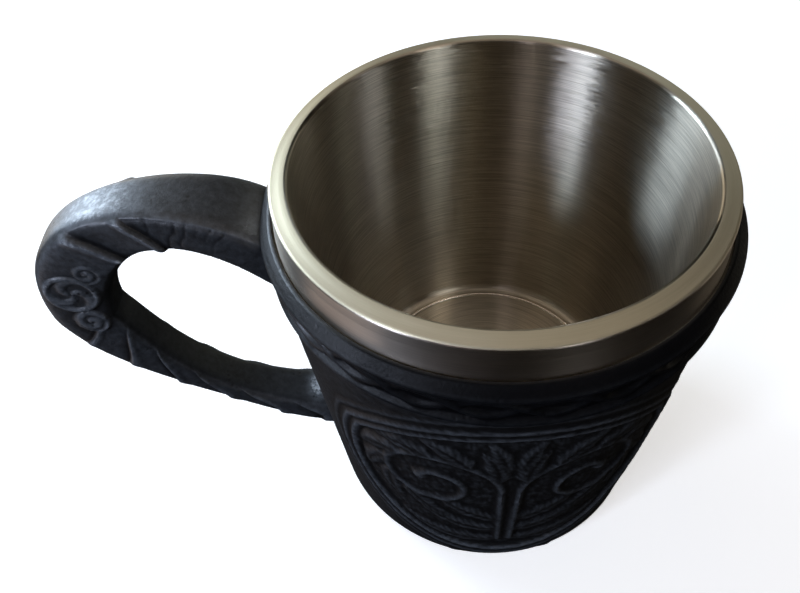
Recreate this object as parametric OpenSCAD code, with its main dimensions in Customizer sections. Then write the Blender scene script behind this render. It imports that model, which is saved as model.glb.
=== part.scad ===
// Tankard mug: a double-walled steel insert bonded into a carved resin body, with a carved resin handle.
// Millimetres. The origin is the centre of the base on the mug's axis, +Z is up, the handle points along -X.

/* [Overall] */
// Height from the base to the top of the steel rim
mug_h = 102; // [98:1:110]

/* [Steel insert] */
// Inner diameter of the mouth
mouth_d = 84; // [78:0.5:90]
// Width of the rim land, from the mouth to the outer edge
land_w = 4; // [3.5:0.25:5]
// Fall of the land towards its outer edge
land_fall = 0.6; // [0.2:0.1:1]
// Inside bend radius of the sheet where the wall turns into the land
mouth_bend = 0.2; // [0.1:0.1:0.6]
// Inside bend radius of the sheet where the land turns down into the lip
rim_bend = 0.6; // [0.3:0.1:1]
// Height of the rolled lip, down to its weld with the jacket
lip_h = 3; // [2.8:0.2:5]
// Thickness of the drawn steel sheet
sheet_t = 0.6; // [0.4:0.1:0.9]
// Depth of the drinking cup from the rim to its floor
cup_depth = 80; // [70:1:84]
// Inner diameter of the cup at its floor
floor_d = 68; // [62:1:72]
// Radius between the cup's wall and its floor
floor_r = 2.5; // [1.5:0.5:5]
// Height of steel that shows above the resin
skirt_show = 8.5; // [6:0.5:10]
// Outward lean of the steel band below the rim
skirt_lean = 0.4; // [0.1:0.1:0.6]
// Length of the steel band that is set into the resin
skirt_set = 4; // [3:0.5:6]
// Air gap between the cup and the jacket
air_gap = 2; // [1.5:0.25:2.5]
// Height of the air space under the cup's floor
floor_gap = 6; // [4.5:0.5:8]
// Height of the flange that welds the base disc into the jacket
flange_h = 4; // [2:0.5:4]

/* [Adhesive] */
// Thickness of the cured film around the insert
bond_t = 0.5; // [0.3:0.1:0.8]
// Thickness of the cured bed under the insert
bed_t = 1.2; // [0.6:0.2:2]
// Depth of the film's top edge below the resin's lip
film_drop = 1; // [0.4:0.2:2]

/* [Resin body] */
// Resin thickness outside the steel band at the neck
neck_wall = 1.8; // [1.4:0.1:2.6]
// Resin thickness outside the insert's lower end
foot_wall = 5.5; // [4:0.25:7]
// Rounding of the base edge
base_edge = 3; // [1:0.5:4]
// Flat width of the lip around the steel band
lip_w = 0.6; // [0.3:0.1:1]
// Distance from the lip down to the upper bead
neck_h = 2.5; // [2:0.25:4]
// Radius of the two half-round beads that bound the border
bead_r = 1; // [0.6:0.1:1.3]
// Distance between the two beads
band_h = 8.6; // [7:0.2:12]

/* [Knot border] */
// Number of eyes around the border
eye_count = 24; // [18:1:30]
// Length of an eye
eye_len = 8; // [5:0.5:9]
// Height of an eye
eye_h = 3.6; // [2:0.2:4.4]
// Depth of an eye
eye_depth = 0.7; // [0.4:0.1:1]

/* [Side panels] */
// Height of a panel's highest point below the lower bead
panel_gap = 3; // [2:0.5:8]
// Radius of a panel's round lower outline, measured on the surface
panel_r = 42; // [34:1:44]
// Radius of a panel's arched top, measured on the surface
panel_arch_r = 56; // [50:1:70]
// Height of the lower outline's centre above the base
panel_h = 46; // [46:1:52]
// Width of each of the two raised lines of the frame
frame_line = 1.5; // [1:0.1:2]
// Gap between the two lines
frame_gap = 1.5; // [1:0.1:2.5]
// Height of the raised lines
frame_h = 0.7; // [0.4:0.1:1.2]
// Depth of the sunk field inside the frame
field_sink = 1; // [0.5:0.1:1.2]

/* [Leaf scroll] */
// Distance of a scroll's centre from the middle of its panel
scroll_x = 17.5; // [16:0.5:18.5]
// Radius of a scroll where its stem enters it
scroll_r = 15.5; // [12:0.5:16]
// Distance between a scroll's turns
scroll_pitch = 8.4; // [7:0.2:9]
// Width of the stem
stem_w = 2; // [1.4:0.1:2.6]
// Length of the leaves on a scroll
leaf_len = 15; // [10:0.5:16]
// Half width of a leaf
leaf_half = 3.5; // [2:0.1:4]
// Length of the long leaves below a scroll
low_leaf_len = 27; // [20:1:28]
// Length of the bud leaves at the top of a panel
bud_len = 15; // [10:0.5:16]
// Length of the tall leaf between the panels
tall_leaf_len = 58; // [40:1:62]

/* [Handle] */
// Reach of the handle's outer face from the body's border
handle_out = 56; // [50:1:60]
// Height of the handle's furthest point above the base
bend_h = 66; // [60:1:70]
// Distance from the resin's lip down to the upper root's centre
upper_drop = 9.5; // [9:0.5:14]
// Height of the lower root's centre above the base
lower_h = 17.5; // [15:0.5:24]
// Rise of the arm where it leaves the upper root, in degrees
upper_rise = 48; // [40:1:54]
// Rise of the tail where it leaves the lower root, in degrees
lower_rise = 15; // [8:1:22]
// Thickness of the arm at the upper root
root_t = 10; // [9:0.5:13]
// Thickness of the arm at its slimmest
arm_t = 9.5; // [8:0.5:12]
// Thickness at the outer bend
bend_t = 16.5; // [12:0.5:18]
// Thickness of the tail at its slimmest
tail_t = 5.5; // [4:0.5:8]
// Thickness of the tail at the lower root
heel_t = 8; // [6:0.5:10]
// Width at the upper root
root_w = 20; // [16:0.5:22]
// Width of the grip and the tail
grip_w = 10.5; // [9:0.5:13]
// Width at the lower root
heel_w = 13; // [10:0.5:16]
// Height of the carved leaf edges on the handle's sides
leaf_h = 1; // [0.5:0.1:1.4]
// Radius of the round boss carved on each side of the bend
boss_r = 6.5; // [4:0.25:7]
// Diameter of the locating pegs
peg_d = 6; // [4:0.5:7]
// Length of the locating pegs inside the body
peg_len = 2.4; // [1.5:0.1:2.6]
// Clearance round a peg, filled with adhesive
peg_gap = 0.4; // [0.3:0.1:0.6]

/* [Hidden] */
$fn = 96;
arc_steps = 5;
round_steps = 28;
arch_steps = 14;
leaf_steps = 5;
scroll_steps = 22;
over = 1;
steel_tone = "#b4aea4";
resin_tone = "#24262b";
epoxy_tone = "#6d675a";

// Heights and radii of the steel insert
mouth_rad = mouth_d / 2;
rim_rad = mouth_rad + land_w;
floor_z = mug_h - cup_depth;
floor_rad = floor_d / 2;
wall_lean = atan((mouth_rad - floor_rad) / cup_depth);
lip_z = mug_h - land_fall - lip_h;
resin_top = mug_h - skirt_show;
skirt_rad = rim_rad + skirt_lean;
skirt_z = resin_top - skirt_set;
jacket_z = floor_z - 2 * sheet_t - floor_gap;
shoulder_slope = 45;
shoulder_z = skirt_z - (skirt_rad - jacket_rad(skirt_z)) * tan(shoulder_slope);
mouth_edge = mouth_bend + sheet_t;
rim_edge = rim_bend + sheet_t;

// Heights and radii of the resin body
cavity_z = jacket_z - bed_t;
upper_bead_z = resin_top - neck_h;
lower_bead_z = upper_bead_z - band_h;
base_rad = jacket_rad(jacket_z) + bond_t + foot_wall;
neck_rad = skirt_rad + bond_t + neck_wall;
bead_sweep = 80;
neck_sweep = 60;
panel_top = lower_bead_z - bead_r - panel_gap;
arch_h = panel_top - panel_arch_r;

// Ornament of a panel: places, angles in degrees and bends of its leaves
scroll_z = panel_h + 1;
scroll_turns = 1.4;
scroll_end = 360 * scroll_turns;
stem_gap = 1;
stem_rise = 11;
stem_foot = [(stem_w + stem_gap) / 2, panel_h - panel_r + stem_rise];
scroll_leaves = 7;
first_leaf = 20;
leaf_turn = 35;
leaf_splay = 30;
leaf_bend = 18;
low_leaves = 3;
low_leaf_rise = 7;
low_leaf_head = -8;
low_leaf_fan = 14;
low_leaf_bend = 34;
low_leaf_less = 0.14;
bud_share = 0.8;
bud_foot = [stem_w * bud_share, scroll_z + leaf_half * 3];
bud_head = 86;
bud_bend = 36;
tall_leaf_z = 10;
tall_leaf_half = 2 * leaf_half;
tall_leaf_bend = 60 * tall_leaf_len;

// Handle: path in its own plane, written as distance from the axis and height
upper_z = resin_top - upper_drop;
start = [body_rad(upper_z), upper_z];
bend = [neck_rad + handle_out - bend_t / 2, bend_h];
heel = [body_rad(lower_h), lower_h];
arm_pull = 24;
bend_pull_up = 28;
bend_pull_down = 6;
tail_pull = 36;
bend_slim = 2;
upper_curve = [start, start + arm_pull * [cos(upper_rise), sin(upper_rise)], bend + [0, bend_pull_up], bend];
lower_curve = [bend, bend - [0, bend_pull_down], heel + tail_pull * [cos(lower_rise), sin(lower_rise)], heel];
root_sink = 4;
before_root = -1;
past_heel = 2;
thickness = [[0, root_t], [0.12, arm_t], [0.4, bend_t], [0.6, bend_t - bend_slim], [0.86, tail_t], [1, heel_t]];
width = [[0, root_w], [0.31, grip_w + 1], [0.5, grip_w], [0.86, grip_w], [1, heel_w]];
// Leaf edges along the path, their lean across the handle, and where the boss sits
leaf_edges = [0.197, 0.292, 0.56, 0.65, 0.73, 0.81, 0.89, 0.96];
leaf_lean = [[0, 0], [0.197, 0.024], [0.3, 0.01], [0.45, 0], [0.56, 0.02], [0.89, 0.02], [1, 0]];
leaf_rings = 7;
edge_run = 0.004;
boss_at = 0.436;
// Half section of the handle from its outer to its inner face: across, along the width, share of the relief
half_section = [[1, 0.7, 0], [0.92, 0.93, 0.3], [0.74, 1, 1], [0.25, 1, 1], [-0.25, 1, 1], [-0.74, 1, 1],
                [-0.92, 0.93, 0.3], [-1, 0.7, 0]];

// Inner radius of the jacket's wall below its shoulder, which follows the cup's wall at the air gap
function cup_rad(z) = floor_rad + (z - floor_z) * tan(wall_lean);
function jacket_rad(z) = cup_rad(z) + 2 * sheet_t + air_gap;
// Radius of the resin's tapered outer face
function body_rad(z) = base_rad + (neck_rad - base_rad) * z / upper_bead_z;
function arc(c, r, from, to, n = arc_steps) =
    [for (i = [0:n]) c + r * [cos(from + (to - from) * i / n), sin(from + (to - from) * i / n)]];
function reversed(list) = [for (i = [len(list) - 1:-1:0]) list[i]];

// Drinking cup: one sheet from the floor, up the wall, across the land and down the rolled lip
function cup_skin(t) =
    let (knee = floor_z + floor_r * (1 - sin(wall_lean)),
         turn = [cup_rad(knee) - floor_r * cos(wall_lean), floor_z + floor_r],
         edge = [rim_rad - rim_edge, mug_h - land_fall - rim_edge])
    concat([[0, floor_z - t]],
           arc(turn, floor_r + t, -90, -wall_lean),
           arc([mouth_rad + mouth_edge, mug_h - mouth_edge], mouth_edge - t, 180, 90),
           arc(edge, rim_edge - t, 90, 0),
           [[rim_rad - t, lip_z]]);

module inner_cup() {
    color(steel_tone) rotate_extrude() polygon(concat(cup_skin(0), reversed(cup_skin(sheet_t))));
}

// Outline of the jacket's outer face from its weld to its lower end, moved in by t
function jacket_skin(t) = let (rise = t * tan(shoulder_slope / 2)) [
    [rim_rad - t, lip_z], [skirt_rad - t, resin_top], [skirt_rad - t, skirt_z + rise],
    [jacket_rad(shoulder_z) - t, shoulder_z + rise], [jacket_rad(jacket_z) - t, jacket_z]];

module outer_jacket() {
    color(steel_tone) rotate_extrude() polygon(concat(jacket_skin(0), reversed(jacket_skin(sheet_t))));
}

// Pressed disc with an upturned flange that lies against the jacket's wall
module jacket_base() {
    top = jacket_z + flange_h;
    color(steel_tone) rotate_extrude() polygon([
        [0, jacket_z], [jacket_rad(jacket_z) - sheet_t, jacket_z], [jacket_rad(top) - sheet_t, top],
        [jacket_rad(top) - 2 * sheet_t, top], [jacket_rad(jacket_z) - 2 * sheet_t, jacket_z + sheet_t],
        [0, jacket_z + sheet_t]]);
}

// Hollow of the resin body: the jacket's outline grown by the film, with the bed below
function cavity_outline(top) = let (drop = bond_t * tan(shoulder_slope / 2)) [
    [skirt_rad + bond_t, top], [skirt_rad + bond_t, skirt_z - drop],
    [jacket_rad(shoulder_z) + bond_t, shoulder_z - drop], [jacket_rad(jacket_z) + bond_t, cavity_z],
    [0, cavity_z]];

module insert_adhesive() {
    film_top = resin_top - film_drop;
    outside = cavity_outline(film_top);
    inside = concat([[skirt_rad, film_top]], [for (i = [2:4]) jacket_skin(0)[i]], [[0, jacket_z]]);
    color(epoxy_tone) rotate_extrude() polygon(concat(outside, reversed(inside)));
}

// Outer outline of the resin: base, taper, two beads and the neck
function resin_outline() = concat(
    [[0, 0], [base_rad - base_edge, 0]],
    arc([base_rad - base_edge, base_edge], base_edge, -90, 0),
    [[body_rad(lower_bead_z - bead_r), lower_bead_z - bead_r]],
    arc([body_rad(lower_bead_z), lower_bead_z], bead_r, -bead_sweep, bead_sweep),
    arc([body_rad(upper_bead_z), upper_bead_z], bead_r, -bead_sweep, neck_sweep),
    [[skirt_rad + bond_t + lip_w, resin_top], [0, resin_top]]);

module resin_solid() {
    rotate_extrude() polygon(resin_outline());
}

// Pointed eye cut square to the surface: two arcs that meet at its ends
module eye() {
    arc_rad = (eye_len * eye_len + eye_h * eye_h) / (4 * eye_h);
    rotate([0, 90, 0]) linear_extrude(eye_depth + 2 * over) intersection() {
        translate([arc_rad - eye_h / 2, 0]) circle(arc_rad);
        translate([eye_h / 2 - arc_rad, 0]) circle(arc_rad);
    }
}

// Eyes all round the border, apart from those that the handle's root covers
module eyes() {
    mid_z = (upper_bead_z + lower_bead_z) / 2;
    hidden_angle = atan((root_w / 2 + eye_len / 2) / neck_rad);
    eye_floor = body_rad(mid_z) - eye_depth;
    difference() {
        for (i = [0:eye_count - 1]) let (angle = (i + 0.5) * 360 / eye_count)
            if (abs(angle - 180) > hidden_angle) rotate(angle) translate([eye_floor - over, 0, mid_z]) eye();
        cylinder(r = eye_floor, h = mug_h);
    }
}

// Panel outline on the surface: a round lower part and an arched top that meet in two pointed corners
function panel_outline(inset) =
    let (r = panel_r - inset, a = panel_arch_r - inset,
         meet_z = (r * r - a * a + arch_h * arch_h - panel_h * panel_h) / (2 * (arch_h - panel_h)),
         low = asin((meet_z - panel_h) / r), high = asin((meet_z - arch_h) / a))
    concat(arc([0, panel_h], r, low, -180 - low, round_steps),
           arc([0, arch_h], a, 180 - high, high, arch_steps));

// One outline wrapped round the taper and cut square to the side that faces an angle
module side_prism(outline, angle) {
    flat = [for (p = outline) let (r = body_rad(p.y)) [r * sin(p.x / r * 180 / PI), p.y]];
    from = neck_rad / 3;
    rotate([90, 0, angle]) translate([0, 0, from]) linear_extrude(neck_rad + over - from) polygon(flat);
}

// Panel outline cut in both sides
module panel_prism(inset) {
    for (angle = [0, 180]) side_prism(panel_outline(inset), angle);
}

module panel_line(inset) {
    difference() {
        panel_prism(inset);
        panel_prism(inset + frame_line);
    }
}

// Taper of the body moved out or in, without beads
module taper(move) {
    top = panel_top + over;
    rotate_extrude() polygon([[0, 0], [body_rad(0) + move, 0], [body_rad(top) + move, top], [0, top]]);
}

module panel_frames() {
    intersection() {
        union() {
            panel_line(0);
            panel_line(frame_line + frame_gap);
        }
        difference() {
            taper(frame_h);
            taper(-foot_wall / 2);
        }
    }
}

// Leaf on a curved spine, as an outline: it swells from its foot and ends in a point
function leaf_outline(foot, heading, bend, length, half) =
    let (spine = [for (i = [0:leaf_steps])
             let (t = i / leaf_steps, a = heading + t * length / bend * 180 / PI)
             [foot + bend * [sin(a) - sin(heading), cos(heading) - cos(a)],
              half * sin(180 * pow(t, 0.7)) * [-sin(a), cos(a)]]])
    concat([for (s = spine) s[0] + s[1]], [for (i = [leaf_steps - 1:-1:1]) spine[i][0] - spine[i][1]]);

// Point of a scroll after a turn in degrees
function scroll_point(turn, out = 0) = let (r = scroll_r - scroll_pitch * turn / 360 + out)
    [scroll_x - r * cos(turn), scroll_z + r * sin(turn)];
// Edge of the stem, which rises beside the panel's middle and curls into the scroll
function stem_edge(out) = concat([[stem_foot[0] - out, stem_foot[1]]],
    [for (i = [0:scroll_steps]) scroll_point(scroll_end * i / scroll_steps, out)]);

// Outlines of the ornament in one half of a panel: stem, leaves on the scroll, leaves below it and a bud leaf
function half_ornament() = concat(
    [concat(stem_edge(stem_w / 2), reversed(stem_edge(-stem_w / 2)))],
    [for (i = [0:scroll_leaves - 1]) let (turn = first_leaf + i * leaf_turn)
        leaf_outline(scroll_point(turn), 90 + leaf_splay - turn, -leaf_bend, leaf_len, leaf_half)],
    [for (i = [0:low_leaves - 1])
        leaf_outline(stem_foot + [0, i * low_leaf_rise], low_leaf_head + i * low_leaf_fan, low_leaf_bend,
                     low_leaf_len * (1 - i * low_leaf_less), leaf_half)],
    [leaf_outline(bud_foot, bud_head, -bud_bend, bud_len, leaf_half * bud_share)]);

module panel_ornament() {
    for (angle = [0, 180], half = [-1, 1], outline = half_ornament())
        side_prism([for (p = outline) [half * p.x, p.y]], angle);
}

module panel_fields() {
    difference() {
        panel_prism(2 * frame_line + frame_gap);
        taper(-field_sink);
        panel_ornament();
    }
}

// Tall leaf on the side away from the handle, between the panels
module tall_leaf() {
    intersection() {
        side_prism(leaf_outline([0, tall_leaf_z], 90, tall_leaf_bend, tall_leaf_len, tall_leaf_half), 90);
        taper(frame_h);
    }
}

// Round pocket or peg of the handle's roots, from inside the body outwards
module root_pin(z, d, depth, out) {
    tip = body_rad(z) - depth;
    translate([-tip, 0, z]) rotate([0, -90, 0]) cylinder(d = d, h = depth + out);
}

module root_pockets() {
    for (z = [upper_z, lower_h]) root_pin(z, peg_d + 2 * peg_gap, peg_len + peg_gap, 2 * bead_r);
}

module resin_body() {
    color(resin_tone) difference() {
        union() {
            resin_solid();
            panel_frames();
            tall_leaf();
        }
        rotate_extrude() polygon(concat([[0, resin_top + over]], cavity_outline(resin_top + over)));
        panel_fields();
        eyes();
        root_pockets();
    }
}

// Value at u from a list of stations, eased between them
function eased(u, list, i = 0) =
    u >= list[i + 1][0] && i < len(list) - 2 ? eased(u, list, i + 1) :
    let (w = min(1, max(0, (u - list[i][0]) / (list[i + 1][0] - list[i][0]))), s = w * w * (3 - 2 * w))
    list[i][1] + (list[i + 1][1] - list[i][1]) * s;

// Point of a cubic curve and its direction
function bezier(p, t) = p[0] * pow(1 - t, 3) + 3 * p[1] * t * pow(1 - t, 2)
    + 3 * p[2] * t * t * (1 - t) + p[3] * pow(t, 3);
function bezier_run(p, t) =
    let (d = (p[1] - p[0]) * pow(1 - t, 2) + 2 * (p[2] - p[1]) * t * (1 - t) + (p[3] - p[2]) * t * t)
    d / norm(d);
// Point of the handle's path and its direction; past its ends the path runs on straight into the body
function path(u) = u < 0 ? start - root_sink * bezier_run(upper_curve, 0) :
    u > 1 ? heel + root_sink * bezier_run(lower_curve, 1) :
    u < 0.5 ? bezier(upper_curve, 2 * u) : bezier(lower_curve, 2 * u - 1);
function path_run(u) = u < 0.5 ? bezier_run(upper_curve, max(0, 2 * u)) :
    bezier_run(lower_curve, min(1, 2 * u - 1));

// One point of the handle: across from inner to outer face, along the width, with the leaf relief
function skin_point(u, cell, lift, side) =
    let (s = u + cell[0] * eased(u, leaf_lean), run = path_run(s),
         at = path(s) + cell[0] * eased(s, thickness) / 2 * [-run.y, run.x])
    [-at.x, side * (cell[1] * eased(s, width) / 2 + cell[2] * lift), at.y];

// Rings of the handle: plain at the root, then one run of rings per leaf that falls away from its raised edge
function leaf_run(from, to, lift) =
    [for (k = [0:leaf_rings]) [from + (to - from) * k / leaf_rings, lift * (1 - k / leaf_rings)]];
rings = concat([[before_root, 0]], leaf_run(0, leaf_edges[0], 0),
    [for (i = [0:len(leaf_edges) - 1])
        each leaf_run(leaf_edges[i] + edge_run, i < len(leaf_edges) - 1 ? leaf_edges[i + 1] : 1, leaf_h)],
    [[past_heel, 0]]);

module handle_sweep() {
    n = 2 * len(half_section);
    points = [for (ring = rings) each concat(
        [for (cell = half_section) skin_point(ring[0], cell, ring[1], 1)],
        [for (cell = reversed(half_section)) skin_point(ring[0], cell, ring[1], -1)])];
    last = len(rings) - 1;
    sides = [for (i = [0:last - 1], j = [0:n - 1]) let (k = (j + 1) % n, a = i * n, b = a + n)
        each [[a + j, b + j, b + k], [a + j, b + k, a + k]]];
    caps = [[for (j = [0:n - 1]) j], [for (j = [n - 1:-1:0]) last * n + j]];
    polyhedron(points, concat(sides, caps));
}

// Round boss on both sides of the bend
module bend_boss() {
    at = path(boss_at);
    length = eased(boss_at, width) + 2 * leaf_h;
    translate([-at.x, length / 2, at.y]) rotate([90, 0, 0]) cylinder(r = boss_r, h = length);
}

module handle() {
    color(resin_tone) {
        difference() {
            union() {
                handle_sweep();
                bend_boss();
            }
            resin_solid();
        }
        for (z = [upper_z, lower_h]) root_pin(z, peg_d, peg_len, root_sink);
    }
}

module handle_adhesive() {
    color(epoxy_tone) intersection() {
        difference() {
            root_pockets();
            for (z = [upper_z, lower_h]) root_pin(z, peg_d, peg_len, root_sink);
        }
        resin_solid();
    }
}

inner_cup();
outer_jacket();
jacket_base();
insert_adhesive();
resin_body();
handle();
handle_adhesive();
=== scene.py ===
import bpy
import numpy as np
from mathutils import Matrix, Vector


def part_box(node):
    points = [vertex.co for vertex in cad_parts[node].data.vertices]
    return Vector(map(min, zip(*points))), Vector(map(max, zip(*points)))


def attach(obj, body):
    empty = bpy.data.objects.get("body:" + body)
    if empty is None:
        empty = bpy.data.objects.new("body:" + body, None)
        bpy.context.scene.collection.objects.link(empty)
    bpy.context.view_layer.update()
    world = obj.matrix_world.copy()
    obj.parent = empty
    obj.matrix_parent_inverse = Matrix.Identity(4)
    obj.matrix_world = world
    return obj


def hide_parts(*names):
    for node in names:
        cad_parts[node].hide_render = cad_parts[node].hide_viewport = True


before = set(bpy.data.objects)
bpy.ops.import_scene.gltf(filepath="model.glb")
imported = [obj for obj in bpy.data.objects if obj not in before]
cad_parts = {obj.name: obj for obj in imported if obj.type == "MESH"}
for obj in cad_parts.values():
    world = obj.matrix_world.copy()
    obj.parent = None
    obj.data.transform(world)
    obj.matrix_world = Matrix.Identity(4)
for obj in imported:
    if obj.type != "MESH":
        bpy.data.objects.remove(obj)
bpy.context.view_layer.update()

# Drinking cup: one sheet of stainless steel, deep-drawn, with the land turned out at the mouth and the lip
# rolled down to its weld. The wall was brushed while it spun, so the lines run round the cup, and the land
# was ground to a satin finish.
MM = 0.001
cup_turns = 384
wall_step, back_step = 1.6, 8.0
sheet = 0.6
cup_low, cup_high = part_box("inner_cup")
rim_z = cup_high.z / MM
rim_rad = cup_high.x / MM
floor_z = cup_low.z / MM + sheet
land_wide, land_fall = 4.0, 0.6
lip_h = 3.0
mouth_rad = rim_rad - land_wide
lip_z = rim_z - land_fall - lip_h
floor_rad = 34.0
floor_bend, mouth_bend, rim_bend = 2.5, 0.8, 0.8
sharp_edge = np.radians(50)


def arc(centre, radius, first, last, steps):
    """Points on a circle: the centre plus the radius times cosine and sine of evenly spaced degrees."""
    turn = np.radians(np.linspace(first, last, steps + 1))
    return np.column_stack([centre[0] + radius * np.cos(turn), centre[1] + radius * np.sin(turn)])


def spaced(outline, step):
    """The outline with points put in between, so that no two neighbours lie further apart than step."""
    length = np.hypot(*np.diff(outline, axis=0).T)
    parts = np.maximum(1, np.ceil(length / step)).astype(int)
    station = np.append(np.repeat(np.arange(len(parts)), parts)
                        + np.concatenate([np.arange(n) / n for n in parts]), len(parts))
    whole = np.arange(len(outline))
    return np.column_stack([np.interp(station, whole, outline[:, k]) for k in (0, 1)])


def run_along(outline):
    """Length from the outline's first point to each of its points, as a column."""
    return np.append(0, np.cumsum(np.hypot(*np.diff(outline, axis=0).T)))[:, None]


def full_turn(turns):
    """Angles in radians of that many even steps round the axis."""
    return np.arange(turns) / turns * 2 * np.pi


def make_piece(name, points, faces, layers):
    """Mesh object of points in millimetres, smooth, with one value or vector per point in each layer."""
    mesh = bpy.data.meshes.new(name)
    mesh.from_pydata(points * MM, [], faces)
    for key, values in layers.items():
        kind, field = ("FLOAT_VECTOR", "vector") if values.ndim == 2 else ("FLOAT", "value")
        mesh.attributes.new(key, kind, "POINT").data.foreach_set(field, values.astype(np.float32).ravel())
    mesh.shade_smooth()
    mesh.set_sharp_from_angle(angle=sharp_edge)
    piece = bpy.data.objects.new(name, mesh)
    bpy.context.scene.collection.objects.link(piece)
    return piece


def turned(name, radius, height, turns, **layers):
    """Skin turned about the mug's axis. Each row is one circle: x is the radius times the cosine of the turn
    and y the radius times its sine. Rows run with the material on their right. Rows that start and end on
    the axis close in two fans, and other rows close on themselves."""
    radius, height, turn = np.broadcast_arrays(radius, height, full_turn(turns))
    points = np.stack([radius * np.cos(turn), radius * np.sin(turn), height], -1).reshape(-1, 3)
    here = np.arange(radius.size).reshape(radius.shape)
    fans = np.zeros((0, 3), int)
    if radius[0, 0] > 0:
        here = np.vstack([here, here[:1]])
    beside = np.roll(here, -1, axis=1)
    quads = np.stack([here[:-1], here[1:], beside[1:], beside[:-1]], -1)
    if radius[0, 0] == 0:
        here[0], here[-1] = here[0, 0], here[-1, 0]
        fans = np.vstack([np.stack([here[0], here[1], beside[1]], -1),
                          np.stack([here[-2], here[-1], beside[-2]], -1)])
        quads = quads[1:-1]
    quads = quads.reshape(-1, 4)
    used = np.union1d(fans, quads)
    number = np.zeros(radius.size, int)
    number[used] = np.arange(len(used))
    flat = {key: np.broadcast_to(v, radius.shape + v.shape[2:]).reshape(radius.size, *v.shape[2:])[used]
            for key, v in layers.items()}
    return make_piece(name, points[used], number[fans].tolist() + number[quads].tolist(), flat)


# Real brush lines would be finer than a pixel, so these are drawn coarser, just wide enough to show.
line_long, line_wide = 5.0, 0.42


def brushing(outline, turns):
    """Place of each point counted in brush lines: x and y over the length of a line, and the run along the
    outline over its width, so that a noise on it is drawn out round the cup without a seam."""
    turn, radius = full_turn(turns), outline[:, :1]
    run = np.broadcast_to(run_along(outline) / line_wide, (len(outline), turns))
    return np.stack([radius * np.cos(turn) / line_long, radius * np.sin(turn) / line_long, run], -1)


wall_lean = np.degrees(np.arctan((mouth_rad - floor_rad) / (rim_z - floor_z)))
wall_angle = np.radians(wall_lean)
turn_in = (floor_rad + floor_bend * (1 - np.sin(wall_angle)) * np.tan(wall_angle)
           - floor_bend * np.cos(wall_angle))
ring_r, ring_h = 0.7, 0.4
ring_rad = turn_in - ring_r


def cup_sheet(inset):
    """Section of the sheet from the axis over floor, wall, land and lip, moved into the sheet by inset."""
    return np.vstack([
        [[0, floor_z - inset]],
        arc((ring_rad, floor_z - inset + ring_h - ring_r), ring_r, 155, 25, 8),
        arc((turn_in, floor_z + floor_bend), floor_bend + inset, -90, -wall_lean, 12),
        arc((mouth_rad + mouth_bend, rim_z - mouth_bend), mouth_bend - inset, 180, 90, 10),
        arc((rim_rad - rim_bend, rim_z - land_fall - rim_bend), rim_bend - inset, 90, 0, 12),
        [[rim_rad - inset, lip_z]]])


cup_outline = np.vstack([spaced(cup_sheet(0), wall_step), spaced(cup_sheet(sheet)[::-1], back_step)])
cup = turned("drinking_cup", cup_outline[:, :1], cup_outline[:, 1:], cup_turns,
             brush=brushing(cup_outline, cup_turns))
centre = np.empty(len(cup.data.polygons) * 3, np.float32)
cup.data.polygons.foreach_get("center", centre)
across_face, face_z = np.hypot(*centre.reshape(-1, 3)[:, :2].T) / MM, centre[2::3] / MM
rim_slack, land_from, lip_share = 1.0, 0.7, 0.25
at_rim = face_z > lip_z - rim_slack
on_lip = at_rim & (across_face > rim_rad - lip_share * rim_bend)
on_land = at_rim & (across_face > mouth_rad + land_from) & ~on_lip
on_ring = (np.abs(across_face - ring_rad) < ring_r) & (face_z > floor_z)
finish_of_face = on_land + 2 * on_ring + 3 * on_lip
cup.data.polygons.foreach_set("material_index", finish_of_face.astype(np.int32))


def linear(code):
    """sRGB hex code as linear red, green, blue and alpha: dark parts are divided by 12.92, and the others,
    with 0.055 added and over 1.055, are taken to the power 2.4."""
    srgb = np.array([int(code[k:k + 2], 16) for k in (1, 3, 5)]) / 255
    return (*np.where(srgb <= 0.04045, srgb / 12.92, ((srgb + 0.055) / 1.055) ** 2.4), 1.0)


def add(tree, kind, inputs, **settings):
    """Adds a node with its settings. Each input, by name or number, is a value or the socket feeding it."""
    made = tree.nodes.new("ShaderNode" + kind)
    for key, value in settings.items():
        setattr(made, key, value)
    for key, value in inputs.items():
        if isinstance(value, bpy.types.NodeSocket):
            tree.links.new(value, made.inputs[key])
        else:
            made.inputs[key].default_value = value
    return made


def finish_tree(name):
    """New material of that name with an empty node tree."""
    made = bpy.data.materials.new(name)
    made.use_nodes = True
    made.node_tree.nodes.clear()
    return made, made.node_tree


finger_wide = 14 * MM


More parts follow.
